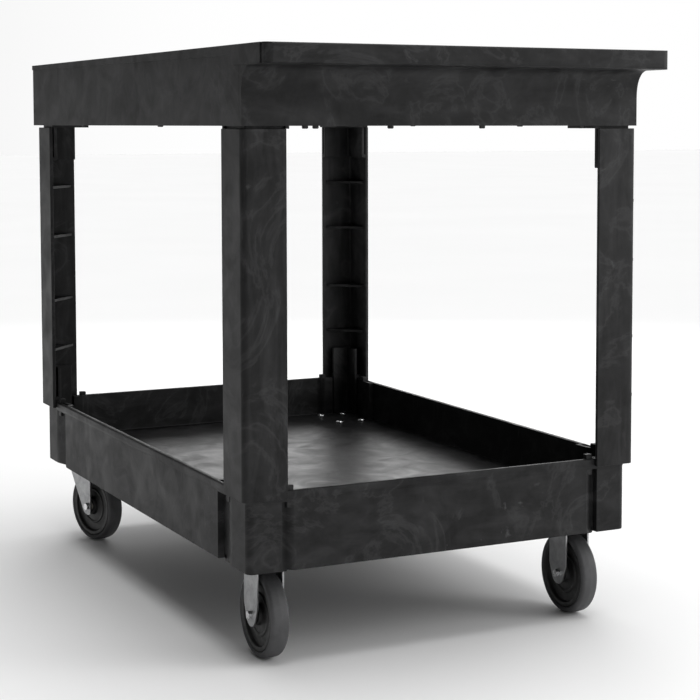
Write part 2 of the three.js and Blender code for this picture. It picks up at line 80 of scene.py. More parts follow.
# ------------------------------------------------------------------ sizes of the mouldings
APRON_HEIGHT = 111
APRON_WALL = 8
APRON_CORNER = 10
REAR_CORNER = 12
DECK_THICK = 7
DECK_RIB_DEPTH = 14
RIB_THICK = 5
DECK_RIB_MARGIN = 125
DECK_RIB_ROWS = (-160, 0, 160)
LEDGE_THICK = 28
LEDGE_CORNER = 17
LEDGE_ROUND = 4
SOCKET_WALL = 5
SKIN = 6
LEG_RADIUS = 9
LEG_BOTTOM = 245
GUSSET_HEIGHTS = (352, 443, 561, 652)
GUSSET_THICK = 5
SHOULDER_DROP = 60
LEG_HEAD_GAP = 27
FOOT_U = 56
FOOT_V = 52
FOOT_RISE = 60
TRAY_FLOOR = 182
TRAY_WALL = 6
TRAY_INSET = 9
STOP_RISE = 7
FLOOR_THICK = 6
TRAY_RIB_DEPTH = 10
TRAY_RIB_MARGIN = 170
TRAY_RIB_ROWS = (-110, 110)
GROOVE_DEPTH = 9
POST_U = 64
GROOVE_END_U = 122
POST_V = 61
GROOVE_END_V = 81
LIP_PROUD = 2.4
LIP_HEIGHT = 13
FIT = 0.3

TRAY_TOP = tray_high.z - STOP_RISE
LEG_TOP = SOCKET_END
APRON_BOTTOM = DECK_TOP - APRON_HEIGHT
DECK_UNDER = DECK_TOP - DECK_THICK


class Corner:
    """One corner of the trolley, with its leg's outer planes and its caster's place."""

    def __init__(self, name):
        self.name = name
        self.front = name.startswith("front")
        self.sign_x = 1 if self.front else -1
        self.sign_y = 1 if name.endswith("left") else -1
        self.plane_x = LEG_FRONT if self.front else LEG_REAR

    def point(self, u, v):
        return self.plane_x - self.sign_x * u, self.sign_y * (HALF_WIDTH - v)


CORNERS = [Corner(name) for name in ("front_right", "front_left", "rear_right", "rear_left")]

# ------------------------------------------------------------------ mesh making


def new_object(name, bm):
    bmesh.ops.recalc_face_normals(bm, faces=bm.faces)
    mesh = bpy.data.meshes.new(name)
    bm.to_mesh(mesh)
    bm.free()
    obj = bpy.data.objects.new(name, mesh)
    bpy.context.scene.collection.objects.link(obj)
    return obj


def loft(rings, name="solid", closed=False):
    """A solid through rings of equally many points: capped at its ends, or closed on itself."""
    bm = bmesh.new()
    loops = [[bm.verts.new(Vector(p) * MM) for p in ring] for ring in rings]
    count = len(loops[0])
    pairs = list(zip(loops, loops[1:]))
    if closed:
        pairs.append((loops[-1], loops[0]))
    for lower, upper in pairs:
        for i in range(count):
            j = (i + 1) % count
            bm.faces.new((lower[i], lower[j], upper[j], upper[i]))
    if not closed:
        bm.faces.new(loops[0])
        bm.faces.new(loops[-1])
    return new_object(name, bm)


def prism(outline, low, high, along="z"):
    """An outline carried from low to high: (x, y) along z, or (x, z) along y."""
    if along == "z":
        return loft([[(a, b, h) for a, b in outline] for h in (low, high)])
    return loft([[(a, h, b) for a, b in outline] for h in (low, high)])


def block(x0, x1, y0, y1, z0, z1):
    return prism([(x0, y0), (x1, y0), (x1, y1), (x0, y1)], z0, z1)


def corner_prism(corner, pairs, z0, z1):
    return prism([corner.point(u, v) for u, v in pairs], z0, z1)


def corner_block(corner, u0, u1, v0, v1, z0, z1):
    return corner_prism(corner, [(u0, v0), (u1, v0), (u1, v1), (u0, v1)], z0, z1)


def revolve(profile, steps=96, middle=(0, 0, 0), axis="y"):
    """A closed (radius, height) profile turned about the y or z axis through middle.

    Points on the axis meet in one, so the edges between them are left without faces and go.
    """
    bm = bmesh.new()
    rings = []
    for step in range(steps):
        angle = math.tau * step / steps
        ring = []
        for radius, height in profile:
            across, up = radius * math.cos(angle), radius * math.sin(angle)
            spot = (across, height, up) if axis == "y" else (across, up, height)
            ring.append(bm.verts.new((Vector(spot) + Vector(middle)) * MM))
        rings.append(ring)
    count = len(profile)
    for step in range(steps):
        here, there = rings[step], rings[(step + 1) % steps]
        for i in range(count):
            j = (i + 1) % count
            bm.faces.new((here[i], here[j], there[j], there[i]))
    bmesh.ops.remove_doubles(bm, verts=bm.verts, dist=1e-6)
    bmesh.ops.dissolve_degenerate(bm, edges=bm.edges, dist=1e-7)
    loose = [edge for edge in bm.edges if not edge.link_faces]
    bmesh.ops.delete(bm, geom=loose, context="EDGES")
    return new_object("turned", bm)


def rod(radius, low, high, steps, middle=(0, 0, 0), axis="y"):
    """A plain round bar along the axis, such as a shank, or the tool that cuts a hole."""
    profile = [(0, low), (radius, low), (radius, high), (0, high)]
    return revolve(profile, steps, middle, axis)


def apply_modifiers(obj):
    graph = bpy.context.evaluated_depsgraph_get()
    mesh = bpy.data.meshes.new_from_object(obj.evaluated_get(graph))
    obj.modifiers.clear()
    obj.data = mesh
    return obj


def boolean(base, tools, operation):
    """Joins tools to base, or cuts them out of it, and deletes them."""
    if not tools:
        return base
    group = bpy.data.collections.new("tools")
    for tool in tools:
        group.objects.link(tool)
    modifier = base.modifiers.new("boolean", "BOOLEAN")
    modifier.operation = operation
    modifier.operand_type = "COLLECTION"
    modifier.collection = group
    modifier.solver = "EXACT"
    apply_modifiers(base)
    for tool in tools:
        bpy.data.objects.remove(tool)
    bpy.data.collections.remove(group)
    return base


def join(base, tools):
    return boolean(base, tools, "UNION")


def cut(base, tools):
    return boolean(base, tools, "DIFFERENCE")


def clean(obj, flat_angle=0.4):
    """Merges points that meet and faces that lie in one plane."""
    bm = bmesh.new()
    bm.from_mesh(obj.data)
    bmesh.ops.remove_doubles(bm, verts=bm.verts, dist=2e-6)
    bmesh.ops.dissolve_limit(
        bm, angle_limit=math.radians(flat_angle), verts=bm.verts, edges=bm.edges
    )
    bm.to_mesh(obj.data)
    bm.free()
    return obj


def rounded(obj, width, segments=3, angle=32):
    """Rounds every edge sharper than angle by width; it comes before any holes are cut."""
    clean(obj)
    bevel = obj.modifiers.new("bevel", "BEVEL")
    bevel.width = width * MM
    bevel.segments = segments
    bevel.limit_method = "ANGLE"
    bevel.angle_limit = math.radians(angle)
    return apply_modifiers(obj)


def shade(obj, smooth=40):
    for polygon in obj.data.polygons:
        polygon.use_smooth = True
    obj.data.set_sharp_from_angle(angle=math.radians(smooth))
    weighted = obj.modifiers.new("weighted", "WEIGHTED_NORMAL")
    weighted.keep_sharp = True
    weighted.weight = 80
    return apply_modifiers(obj)


def soft_block(x0, x1, y0, y1, z0, z1, edge=1.4):
    """A block with all its edges rounded."""
    rings = []
    for step in range(4):
        angle = math.pi / 2 * step / 3
        rings.append((edge * (1 - math.sin(angle)), z0 + edge * (1 - math.cos(angle))))
    rings += [(inset, z0 + z1 - level) for inset, level in reversed(rings)]
    return loft(
        [
            [
                (x, y, level)
                for x, y in rounded_rectangle(
                    x0 + inset, x1 - inset, y0 + inset, y1 - inset, edge, edge, 3
                )
            ]
            for inset, level in rings
        ]
    )


def soft_corner_block(corner, u0, u1, v0, v1, z0, z1, edge=1.4):
    (xa, ya), (xb, yb) = corner.point(u0, v0), corner.point(u1, v1)
    return soft_block(min(xa, xb), max(xa, xb), min(ya, yb), max(ya, yb), z0, z1, edge)


def arc(middle_a, middle_b, radius, start, end, steps):
    points = []
    for step in range(steps + 1):
        angle = math.radians(start + (end - start) * step / steps)
        points.append((middle_a + radius * math.cos(angle), middle_b + radius * math.sin(angle)))
    return points


def rounded_rectangle(x0, x1, y0, y1, rear, front, steps=8):
    return (
        arc(x1 - front, y0 + front, front, -90, 0, steps)
        + arc(x1 - front, y1 - front, front, 0, 90, steps)
        + arc(x0 + rear, y1 - rear, rear, 90, 180, steps)
        + arc(x0 + rear, y0 + rear, rear, 180, 270, steps)
    )


def angle_section(inset, radius, thick, end_u, end_v):
    """An angle's outline in corner coordinates, round outside its corner and filleted inside."""
    far, fillet = inset + thick, 2.5
    return (
        [(end_u, inset)]
        + arc(inset + radius, inset + radius, radius, 270, 180, 8)
        + [(inset, end_v), (far, end_v)]
        + arc(far + fillet, far + fillet, fillet, 180, 270, 4)
        + [(end_u, far)]
    )


def finished(obj, name, node, body, slot, *materials):
    """Names a piece, puts it on its body in place of its CAD node, and gives it its materials."""
    obj.name = name
    obj.data.name = name
    obj.data.materials.clear()
    for look in materials:
        obj.data.materials.append(look)
    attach(obj, body)
    if node:
        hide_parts(node)
    return obj


# ------------------------------------------------------------------ materials


class Look:
    """A node material with object coordinates ready for its textures."""

    def __init__(self, name, roughness, metallic=0.0, specular=0.5):
        self.material = bpy.data.materials.new(name)
        self.material.use_nodes = True
        self.nodes = self.material.node_tree.nodes
        self.links = self.material.node_tree.links
        self.shader = self.nodes["Principled BSDF"]
        self.shader.inputs["Roughness"].default_value = roughness
        self.shader.inputs["Metallic"].default_value = metallic
        self.shader.inputs["Specular IOR Level"].default_value = specular
        self.place = self.nodes.new("ShaderNodeTexCoord").outputs["Object"]

    def link(self, source, target):
        self.links.new(source, target)

    def stretched(self, scale, turn=(0, 0, 0)):
        mapping = self.nodes.new("ShaderNodeMapping")
        mapping.inputs["Scale"].default_value = scale
        mapping.inputs["Rotation"].default_value = [math.radians(t) for t in turn]
        self.link(self.place, mapping.inputs["Vector"])
        return mapping.outputs["Vector"]

    def noise(self, scale, detail=4.0, distortion=0.0, roughness=0.55, place=None):
        texture = self.nodes.new("ShaderNodeTexNoise")
        texture.inputs["Scale"].default_value = scale
        texture.inputs["Detail"].default_value = detail
        texture.inputs["Distortion"].default_value = distortion
        texture.inputs["Roughness"].default_value = roughness
        self.link(place or self.place, texture.inputs["Vector"])
        return texture.outputs["Fac"]

    def ramp(self, source, *stops):
        """Maps a value through (position, value) stops."""
        node = self.nodes.new("ShaderNodeValToRGB")
        elements = node.color_ramp.elements
        while len(elements) < len(stops):
            elements.new(0.5)
        for element, (position, value) in zip(elements, stops):
            element.position = position
            element.color = (value, value, value, 1)
        self.link(source, node.inputs["Fac"])
        return node.outputs["Color"]

    def math(self, operation, first, second):
        node = self.nodes.new("ShaderNodeMath")
        node.operation = operation
        for socket, value in zip(node.inputs, (first, second)):
            if isinstance(value, (int, float)):
                socket.default_value = value
            else:
                self.link(value, socket)
        return node.outputs["Value"]

    def mix(self, amount, first, second):
        """Mixes two colours by a value."""
        node = self.nodes.new("ShaderNodeMix")
        node.data_type = "RGBA"
        self.link(amount, node.inputs["Factor"])
        for socket, value in ((node.inputs[6], first), (node.inputs[7], second)):
            if isinstance(value, tuple):
                socket.default_value = (*value, 1)
            else:
                self.link(value, socket)
        return node.outputs[2]

    def bump(self, *layers):
        """Stacks bumps, each a (height, strength, distance in mm)."""
        normal = None
        for height, strength, distance in layers:
            node = self.nodes.new("ShaderNodeBump")
            node.inputs["Strength"].default_value = strength
            node.inputs["Distance"].default_value = distance * MM
            self.link(height, node.inputs["Height"])
            if normal is not None:
                self.link(normal, node.inputs["Normal"])
            normal = node.outputs["Normal"]
        self.link(normal, self.shader.inputs["Normal"])

    def colour(self, source):
        self.link(source, self.shader.inputs["Base Color"])

    def rough(self, source):
        self.link(source, self.shader.inputs["Roughness"])


DARK = (0.003, 0.003, 0.0032)
PALE = (0.046, 0.046, 0.047)
SCUFF = (0.085, 0.085, 0.087)


def foam_plastic(name, dark, pale, stretch, swirl_scale, rough_low, rough_high, scuffs):
    """Black structural foam: flow swirls, splay streaks, moulded grain and scuff marks."""
    look = Look(name, 0.5, specular=0.2)
    swirl = look.noise(swirl_scale, detail=7, distortion=2.4, roughness=0.6)
    streak_place = look.stretched(stretch)
    streak = look.noise(9, detail=6, distortion=0.7, place=streak_place)
    mottle = look.noise(55, detail=5, roughness=0.7)
    swirled = look.ramp(swirl, (0.40, 0.0), (0.52, 0.25), (0.56, 1.0), (0.60, 0.3), (0.72, 0.05))
    streaked = look.ramp(streak, (0.42, 0.0), (0.60, 0.55), (0.72, 1.0))
    mottled = look.ramp(mottle, (0.35, 0.0), (0.7, 0.35))
    both = look.math("MULTIPLY", look.math("ADD", swirled, streaked), 0.42)
    amount = look.math("ADD", both, look.math("MULTIPLY", mottled, 0.35))
    tint = look.mix(amount, dark, pale)

    scuff_place = look.stretched((6, 1, 1), (0, 0, 31))
    scuff_noise = look.noise(38, detail=9, distortion=0.4, place=scuff_place)
    scuff_mask = look.noise(4.5, detail=2)
    lines = look.ramp(scuff_noise, (0.63, 0.0), (0.70, 1.0))
    where = look.ramp(scuff_mask, (0.46, 0.0), (0.66, 1.0))
    scuffed = look.math("MULTIPLY", look.math("MULTIPLY", lines, where), scuffs)
    look.colour(look.mix(scuffed, tint, SCUFF))

    base = look.ramp(look.noise(14, detail=6, distortion=1.2), (0.3, rough_low), (0.7, rough_high))
    look.rough(look.math("ADD", base, look.math("MULTIPLY", amount, 0.10)))
    look.bump(
        (look.noise(7, detail=2), 0.35, 2.0),
        (look.noise(260, detail=3, roughness=0.6), 0.22, 0.12),
        (look.noise(1300, detail=2), 0.16, 0.05),
        (scuffed, 0.25, 0.05),
    )
    return look.material


def zinc(name, dark, pale, roughness, grain):
    """Zinc-plated steel: soft clouding, fine drawn lines and handling dullness."""
    look = Look(name, roughness, metallic=1.0)
    cloud = look.noise(60, detail=6, distortion=0.8)
    lines = look.noise(grain, detail=3, place=look.stretched((1, 1, 14)))
    worn = look.noise(240, detail=4)
    amount = look.math("ADD", look.math("MULTIPLY", cloud, 0.7), look.math("MULTIPLY", lines, 0.4))
    look.colour(look.mix(look.ramp(amount, (0.35, 0.0), (0.78, 1.0)), dark, pale))
    look.rough(look.ramp(worn, (0.3, roughness - 0.08), (0.75, roughness + 0.16)))
    look.bump((lines, 0.12, 0.05), (worn, 0.1, 0.06))
    return look.material


def tyre_rubber():
    look = Look("tyre_rubber_grey", 0.6, specular=0.4)
    cloud = look.noise(34, detail=6, distortion=0.6)
    dust = look.noise(170, detail=5, roughness=0.7)
    amount = look.math("ADD", look.math("MULTIPLY", cloud, 0.7), look.math("MULTIPLY", dust, 0.35))
    shaded = look.ramp(amount, (0.35, 0.0), (0.75, 1.0))
    look.colour(look.mix(shaded, (0.048, 0.048, 0.050), (0.088, 0.088, 0.091)))
    look.rough(look.ramp(dust, (0.3, 0.46), (0.75, 0.68)))
    look.bump((dust, 0.16, 0.12), (look.noise(900, detail=2), 0.2, 0.05))
    return look.material


def hub_plastic():
    look = Look("hub_plastic_black", 0.45, specular=0.4)
    cloud = look.noise(42, detail=5, distortion=1.0)
    look.colour(look.mix(look.ramp(cloud, (0.3, 0.0), (0.75, 1.0)), (0.007,) * 3, (0.022,) * 3))
    look.rough(look.ramp(look.noise(120, detail=4), (0.3, 0.34), (0.7, 0.55)))
    look.bump((look.noise(700, detail=3), 0.2, 0.08), (cloud, 0.15, 0.3))
    return look.material


def acetal():
    look = Look("bushing_acetal", 0.4, specular=0.5)
    cloud = look.noise(90, detail=4)
    amount = look.ramp(cloud, (0.3, 0.0), (0.7, 1.0))
    look.colour(look.mix(amount, (0.52, 0.50, 0.44), (0.62, 0.60, 0.54)))
    look.rough(look.ramp(cloud, (0.3, 0.34), (0.7, 0.48)))
    look.bump((look.noise(600, detail=2), 0.1, 0.05))
    return look.material


shelf_look = foam_plastic("foam_shelf", DARK, PALE, (1, 1, 2.6), 7.5, 0.40, 0.56, 0.5)
leg_look = foam_plastic("foam_leg", DARK, PALE, (5, 5, 0.9), 6.0, 0.38, 0.55, 0.4)
tray_look = foam_plastic("foam_tray", DARK, PALE, (1.2, 1.2, 3.0), 6.5, 0.40, 0.56, 0.5)
floor_look = foam_plastic("foam_tray_floor", DARK, PALE, (1.4, 1.0, 1.0), 6.0, 0.32, 0.50, 1.0)
steel_look = zinc("zinc_stamping", (0.25, 0.253, 0.257), (0.45, 0.453, 0.457), 0.36, 420)
bolt_look = zinc("zinc_bolt", (0.58, 0.585, 0.59), (0.80, 0.80, 0.81), 0.24, 700)
tyre_look = tyre_rubber()
hub_look = hub_plastic()
bush_look = acetal()

# ------------------------------------------------------------------ top shelf


def cove_profile():
    """Side view of the front apron and the ledge that grows out of it, as (x, z)."""
    under = DECK_TOP - LEDGE_THICK
    reach, rise = 27, 42
    cove = []
    steps = 14
    for step in range(steps + 1):
        angle = math.pi / 2 * step / steps
        out = reach * (1 - math.cos(angle)) ** 1.15
        cove.append((LEG_FRONT + out, under - rise + rise * math.sin(angle)))
    return (
        [(LEG_FRONT - APRON_WALL, APRON_BOTTOM), (LEG_FRONT, APRON_BOTTOM)]
        + cove
        + arc(LEDGE_TIP - LEDGE_ROUND, under + LEDGE_ROUND, LEDGE_ROUND, -90, 0, 6)
        + arc(LEDGE_TIP - LEDGE_ROUND, DECK_TOP - LEDGE_ROUND, LEDGE_ROUND, 0, 90, 6)
        + [(LEG_FRONT - APRON_WALL, DECK_TOP)]
    )


def side_bead(side):
    """The bead along a long side: deeper near the ledge, and deepest on the ledge itself."""
    start, end = REAR_APRON + REAR_CORNER, LEDGE_TIP - LEDGE_CORNER
    block_start = LEG_FRONT - 30
    outline = [
        (start, DECK_TOP - 8),
        (block_start - 3, DECK_TOP - 14),
        (block_start, DECK_TOP - LEDGE_THICK),
        (end, DECK_TOP - LEDGE_THICK),
        (end, DECK_TOP),
        (start, DECK_TOP),
    ]
    near, far = sorted((side * (HALF_WIDTH - 5), side * (HALF_WIDTH + BEAD_PROUD - 1)))
    return prism(outline, near, far, along="y")


def rib_place(index, count, margin):
    """Where one of the evenly spaced cross ribs stands, margin in from the legs' planes."""
    return LEG_REAR + margin + index * (LEG_FRONT - LEG_REAR - 2 * margin) / (count - 1)


def shelf_ribs():
    ribs = []
    low, high = DECK_UNDER - DECK_RIB_DEPTH, DECK_UNDER + 1
    span = HALF_WIDTH - APRON_WALL / 2
    count = 7
    for index in range(count):
        x = rib_place(index, count, DECK_RIB_MARGIN)
        ribs.append(block(x - RIB_THICK / 2, x + RIB_THICK / 2, -span, span, low, high))
    start, end = REAR_APRON + APRON_WALL / 2, LEG_FRONT - APRON_WALL / 2
    for y in DECK_RIB_ROWS:
        ribs.append(block(start, end, y - RIB_THICK / 2, y + RIB_THICK / 2, low, high))
    return ribs


def apron_stubs():
    """Short gate and rib stubs that hang a few millimetres below the aprons."""
    stubs = []
    low = APRON_BOTTOM - 4
    front = LEG_FRONT - APRON_WALL
    for y in (-228, -212, -95, 55, 226):
        stubs.append(soft_block(front + 1, front + 7, y - 4, y + 4, low, APRON_BOTTOM + 6))
    for x in (-250, 140):
        for side in (-1, 1):
            y = side * (HALF_WIDTH - APRON_WALL / 2)
            stubs.append(soft_block(x - 6, x + 6, y - 3, y + 3, low + 2, APRON_BOTTOM + 6))
    return stubs


def make_shelf():
    shell = prism(
        rounded_rectangle(
            REAR_APRON, LEG_FRONT, -HALF_WIDTH, HALF_WIDTH, REAR_CORNER, APRON_CORNER
        ),
        APRON_BOTTOM,
        DECK_TOP,
    )
    hollow = prism(
        rounded_rectangle(
            REAR_APRON + APRON_WALL,
            LEG_FRONT - APRON_WALL,
            APRON_WALL - HALF_WIDTH,
            HALF_WIDTH - APRON_WALL,
            REAR_CORNER - 5,
            4,
        ),
        APRON_BOTTOM - 1,
        DECK_UNDER,
    )
    outline = prism(
        rounded_rectangle(
            REAR_APRON + 200, LEDGE_TIP, -HALF_WIDTH - 2, HALF_WIDTH + 2, 5, LEDGE_CORNER, 12
        ),
        APRON_BOTTOM - 1,
        DECK_TOP + 1,
    )
    ledge = prism(cove_profile(), -HALF_WIDTH, HALF_WIDTH, along="y")
    boolean(ledge, [outline], "INTERSECT")
    sockets = []
    spaces = []
    for corner in CORNERS:
        wall_u, wall_v = FLANGE_X + FIT + SOCKET_WALL, FLANGE_Y + FIT + SOCKET_WALL
        sockets.append(
            corner_block(
                corner, APRON_WALL - SOCKET_WALL, wall_u, 4, wall_v, SOCKET_END, DECK_UNDER + 1
            )
        )
        reach_u, reach_v = FLANGE_X + FIT, FLANGE_Y + FIT
        spaces.append(
            corner_block(
                corner, APRON_WALL, reach_u, APRON_WALL, reach_v, SOCKET_END - 1, DECK_UNDER
            )
        )
        spaces.append(corner_block(corner, -1, reach_u, -1, reach_v, SOCKET_END - 2, APRON_BOTTOM))
    join(shell, [ledge, side_bead(-1), side_bead(1)])
    rounded(shell, 1.5)
    cut(shell, [hollow])
    join(shell, [*shelf_ribs(), *sockets, *apron_stubs()])
    cut(shell, spaces)
    return shade(clean(shell))


# ------------------------------------------------------------------ legs
TOP_INSET = APRON_WALL + FIT
BOTTOM_INSET = TRAY_INSET + TRAY_WALL + 0.5


def make_leg(corner):
    skin = corner_prism(
        corner, angle_section(0, LEG_RADIUS, SKIN, FLANGE_X, FLANGE_Y), LEG_BOTTOM, LEG_TOP
    )
    upper = corner_prism(
        corner,
        angle_section(TOP_INSET, 2, SKIN, FLANGE_X - FIT, FLANGE_Y - FIT),
        LEG_TOP - SHOULDER_DROP,
        DECK_UNDER - LEG_HEAD_GAP,
    )
    lower = corner_prism(
        corner,
        angle_section(BOTTOM_INSET, TRAY_WALL, SKIN, FOOT_U, FOOT_V),
        TRAY_FLOOR + FIT,
        TRAY_TOP + FOOT_RISE,
    )
    seat = corner_prism(
        corner,
        angle_section(SKIN / 2, 2, BOTTOM_INSET, FOOT_U, FOOT_V),
        TRAY_TOP + FIT,
        TRAY_TOP + FIT + SKIN,
    )
    shoulder = corner_prism(
        corner,
        angle_section(SKIN / 2, 2, SKIN, FLANGE_X - FIT, FLANGE_Y - FIT),
        LEG_TOP - SHOULDER_DROP,
        LEG_TOP - SHOULDER_DROP + SKIN,
    )
    reach_u, reach_v = FLANGE_X - 9, FLANGE_Y - 7
    gusset = [(2, 2), (reach_u, 2), (reach_u, 8), (8, reach_v), (2, reach_v)]
    half = GUSSET_THICK / 2
    gussets = [corner_prism(corner, gusset, z - half, z + half) for z in GUSSET_HEIGHTS]
    for part in (skin, upper, lower, *gussets):
        rounded(part, 0.9)
    join(skin, [upper, lower, seat, shoulder, *gussets])
    return shade(clean(skin))


# ------------------------------------------------------------------ bottom tray


def wall_corner(inset, depth, radius, spread_u, spread_v):
    """One corner of a wall's outline, from the long side round to the end."""
    deep = inset + depth
    cove = []
    steps = 10
    start, end = POST_U - spread_u, GROOVE_END_U - 12
    for step in range(steps + 1):
        share = 1 - step / steps
        ease = (1 - math.cos(math.pi * share)) / 2
        cove.append((start + (end - start) * share, inset + depth * ease))
    ramp = []
    foot = POST_V + spread_v + 4
    for step in range(steps + 1):
        ease = (1 + math.cos(math.pi * step / steps)) / 2
        rise = (GROOVE_END_V + spread_v - foot) * step / steps
        ramp.append((inset + depth * ease, foot + rise))
    return (
        [(GROOVE_END_U + spread_u, inset), (GROOVE_END_U + spread_u - 1.5, deep)]
        + cove
        + arc(inset + radius, inset + radius, radius, 270, 180, 8)
        + [
            (inset, POST_V - spread_v),
            (deep, POST_V - spread_v + 0.6),
        ]
        + ramp
    )


def wall_outline(inset, depth, radius, spread_u, spread_v):
    front_right, front_left, rear_right, rear_left = (
        [corner.point(u, v) for u, v in wall_corner(inset, depth, radius, spread_u, spread_v)]
        for corner in CORNERS
    )
    return front_right + front_left[::-1] + rear_left + rear_right[::-1]


def tray_rectangle(inset, radius):
    return rounded_rectangle(
        LEG_REAR + inset,
        LEG_FRONT - inset,
        inset - HALF_WIDTH,
        HALF_WIDTH - inset,
        radius,
        radius,
        8,
    )


def make_lip():
    """The rim's rolled lip: round on top, and running out softly into the wall below."""
    outer, inner = TRAY_INSET - LIP_PROUD, TRAY_INSET + 2
    roll = 3.2
    section = arc(outer + roll, TRAY_TOP - roll, roll, 180, 90, 6) + [
        (inner, TRAY_TOP),
        (inner, TRAY_TOP - LIP_HEIGHT - 3),
        (TRAY_INSET + 0.2, TRAY_TOP - LIP_HEIGHT - 3),
        (TRAY_INSET - 0.5, TRAY_TOP - LIP_HEIGHT - 1),
        (outer + 0.3, TRAY_TOP - LIP_HEIGHT + 2),
        (outer, TRAY_TOP - LIP_HEIGHT + 4),
    ]
    rings = []
    for inset, height in section:
        rings.append([(x, y, height) for x, y in tray_rectangle(inset, 19 - inset)])
    return loft(rings, "lip", closed=True)


def tray_ribs():
    ribs = []
    low, high = TRAY_FLOOR - FLOOR_THICK - TRAY_RIB_DEPTH, TRAY_FLOOR - 1
    span = HALF_WIDTH - TRAY_INSET - TRAY_WALL / 2
    count = 5
    for index in range(count):
        x = rib_place(index, count, TRAY_RIB_MARGIN)
        ribs.append(block(x - RIB_THICK / 2, x + RIB_THICK / 2, -span, span, low, high))
    inset = TRAY_INSET + TRAY_WALL / 2
    for y in TRAY_RIB_ROWS:
        ribs.append(
            block(
                LEG_REAR + inset, LEG_FRONT - inset, y - RIB_THICK / 2, y + RIB_THICK / 2, low, high
            )
        )
    return ribs


def groove_feet(corner):
    """The grooves' walls run a little lower than the panels between them."""
    deep = TRAY_INSET + GROOVE_DEPTH
    drop, top = TRAY_BOTTOM - 4, TRAY_BOTTOM + 9
    start, end = POST_U + 24, GROOVE_END_U - 2
    return [
        soft_corner_block(corner, start, end, deep, deep + TRAY_WALL, drop, top, 2),
        soft_corner_block(
            corner, deep, deep + TRAY_WALL, POST_V + 1, POST_V + 12, drop + 1, top, 2
        ),
    ]


def leg_stops(corner):
    start, low = TRAY_INSET + 1, TRAY_TOP - 25
    return [
        soft_corner_block(corner, FLANGE_X + 2, FLANGE_X + 15, start, 20, low, tray_high.z),
        soft_corner_block(corner, start, 20, FLANGE_Y + 2, FLANGE_Y + 13, low, tray_high.z),
    ]


def plate_box(corner):
    """The caster's mounting plate, from the frame, in millimetres."""
    return box_mm(f"{corner.name}_fork" if corner.front else f"{corner.name}_top_plate")


def wall_loft(levels):
    """A solid through wall outlines, each (offset inwards from the outer face, height)."""
    rings = []
    for offset, level in levels:
        radius = max(11 - offset, 2.5)
        outline = wall_outline(TRAY_INSET + offset, GROOVE_DEPTH, radius, offset, offset)
        rings.append([(x, y, level) for x, y in outline])
    return loft(rings)


def make_tray():
    wall, edge, fillet = TRAY_WALL, 1.3, 3.0
    outer = wall_loft(
        [
            (edge, TRAY_BOTTOM),
            (edge * 0.3, TRAY_BOTTOM + edge * 0.3),
            (0, TRAY_BOTTOM + edge),
            (0, TRAY_TOP - edge),
            (edge * 0.3, TRAY_TOP - edge * 0.3),
            (edge, TRAY_TOP),
        ]
    )
    basin = wall_loft(
        [
            (wall + fillet, TRAY_FLOOR),
            (wall + fillet * 0.3, TRAY_FLOOR + fillet * 0.3),
            (wall, TRAY_FLOOR + fillet),
            (wall, TRAY_TOP - edge),
            (wall - edge * 0.3, TRAY_TOP - edge * 0.3),
            (wall - edge, TRAY_TOP),
            (wall - edge, TRAY_TOP + 2),
        ]
    )
    underside = wall_loft([(wall, TRAY_BOTTOM - 1), (wall, TRAY_FLOOR - FLOOR_THICK)])
    cut(outer, [underside])
    extras = [make_lip(), *tray_ribs()]
    for corner in CORNERS:
        low, high = plate_box(corner)
        margin = 3
        extras += groove_feet(corner)
        extras.append(
            block(
                low.x - margin,
                high.x + margin,
                low.y - margin,
                high.y + margin,
                high.z + FIT,
                TRAY_FLOOR - 1,
            )
        )
    join(outer, extras)
    cut(outer, [basin])
    join(outer, [stop for corner in CORNERS for stop in leg_stops(corner)])
    return shade(clean(outer))


def mark_floor(tray):
    """Gives the basin's floor its own, glossier finish."""
    for polygon in tray.data.polygons:
        on_floor = abs(polygon.center.z / MM - TRAY_FLOOR) < 0.5
        if on_floor and polygon.normal.z > 0.99:
            polygon.material_index = 1


shelf = make_shelf()
finished(shelf, "top_shelf_moulding", "top_shelf", "frame", "foam_plastic", shelf_look)
tray = make_tray()
finished(
    tray, "bottom_tray_moulding", "bottom_tray", "frame", "foam_plastic", tray_look, floor_look
)
mark_floor(tray)
for corner in CORNERS:
    leg = make_leg(corner)
    finished(
        leg, f"{corner.name}_leg_moulding", f"{corner.name}_leg", "frame", "foam_plastic", leg_look
    )

# ------------------------------------------------------------------ casters
WHEEL_RADIUS = 63.5
HUB_RADIUS = 54
HALF_TYRE = 14.5
FORK_GAP = HALF_TYRE + 4
FORK_PLATE = 3
FORK_OUT = FORK_GAP + FORK_PLATE
AXLE_RADIUS = 4
AXLE_HOLE = 4.4
AXLE_HEAD = 6.5
THREAD_PITCH = 1.25
BUSH_RADIUS = 7
SWIVEL_LEAD = 26
SWIVEL_YAW = 17
PLATE_THICK = 4
PLATE_CORNER = 9
BOLT_SLOT = 4.4
BOLT_SLOT_REACH = 3
RACE_BORE = 6.3
CROWN_BORE = 6.6
CROWN_DEPTH = 5
RUNNING = 0.5


def tyre_profile():
    """Half-round shoulders, and a tread of two faint cones that meet in the middle."""
    half = HALF_TYRE
    shoulder = 6.5
    points = [(HUB_RADIUS + FIT, half - 2.2), (HUB_RADIUS + 1.5, half - 1.0)]
    points += [(HUB_RADIUS + 3.4, half - 0.1)]
    crown = WHEEL_RADIUS - 0.6
    for radius, y in arc(crown - shoulder, half - shoulder, shoulder, 84, 6, 7):
        points.append((radius, y))
    points += [(WHEEL_RADIUS - 0.08, 1.1), (WHEEL_RADIUS - 0.02, 0.55)]
    mirrored = [(radius, -y) for radius, y in reversed(points)]
    return points + mirrored


